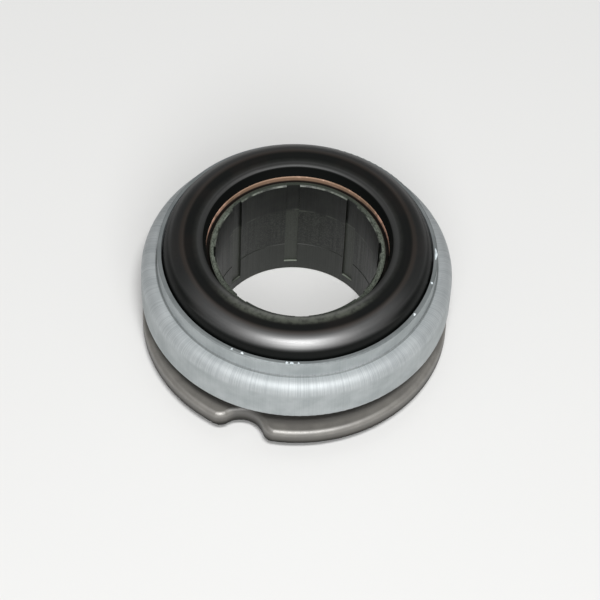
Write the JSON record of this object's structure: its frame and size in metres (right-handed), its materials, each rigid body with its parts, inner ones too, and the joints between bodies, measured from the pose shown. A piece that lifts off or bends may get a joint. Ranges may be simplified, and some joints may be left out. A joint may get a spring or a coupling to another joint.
{
  "type": "clutch release bearing",
  "caption": "Clutch release bearing: black contact ring on caged balls in a pressed steel housing, on a grooved plastic guide sleeve with a notched steel fork plate.",
  "frame": {"origin": "on the bore axis, at the underside of the guide sleeve's foot", "axes": "+Z along the bore from the foot to the contact face, -Y through one fork notch"},
  "size_m": [0.063, 0.063, 0.0307],
  "materials": {
    "sleeve_plastic": "moulded, satin",
    "plate_steel": "phosphated and tumbled, bright edges",
    "copper_coat": "copper coated steel",
    "race_steel": "turned and ground",
    "zinc_steel": "zinc plated, drawn",
    "black_steel": "black oxide, oiled",
    "seal_rubber": "matt",
    "cage_plastic": "moulded, natural",
    "ball_steel": "polished"
  },
  "bodies": {
    "carrier": {"guide_sleeve": "sleeve_plastic", "fork_plate": "plate_steel", "retaining_ring": "copper_coat", "inner_ring": "race_steel", "housing_shell": "zinc_steel", "outer_seal": "seal_rubber"},
    "rotor": {"contact_ring": "black_steel", "upper_seal": "seal_rubber"},
    "ball_set": {"ball_cage": "cage_plastic", "ball_1": "ball_steel", "ball_2": "ball_steel", "ball_3": "ball_steel", "ball_4": "ball_steel", "ball_5": "ball_steel", "ball_6": "ball_steel", "ball_7": "ball_steel", "ball_8": "ball_steel", "ball_9": "ball_steel", "ball_10": "ball_steel", "ball_11": "ball_steel", "ball_12": "ball_steel", "ball_13": "ball_steel", "ball_14": "ball_steel", "ball_15": "ball_steel", "ball_16": "ball_steel"}
  },
  "joints": [
    {"name": "contact_ring_spin", "type": "hinge", "parent": "carrier", "child": "rotor", "pos_m": [0, 0, 0.0217], "axis": [0, 0, 1], "continuous": true},
    {"name": "ball_set_spin", "type": "hinge", "parent": "carrier", "child": "ball_set", "pos_m": [0, 0, 0.0217], "axis": [0, 0, 1], "continuous": true}
  ],
  "couplings": [
    {"joint": "ball_set_spin", "follows": "contact_ring_spin", "ratio": 0.562}
  ]
}
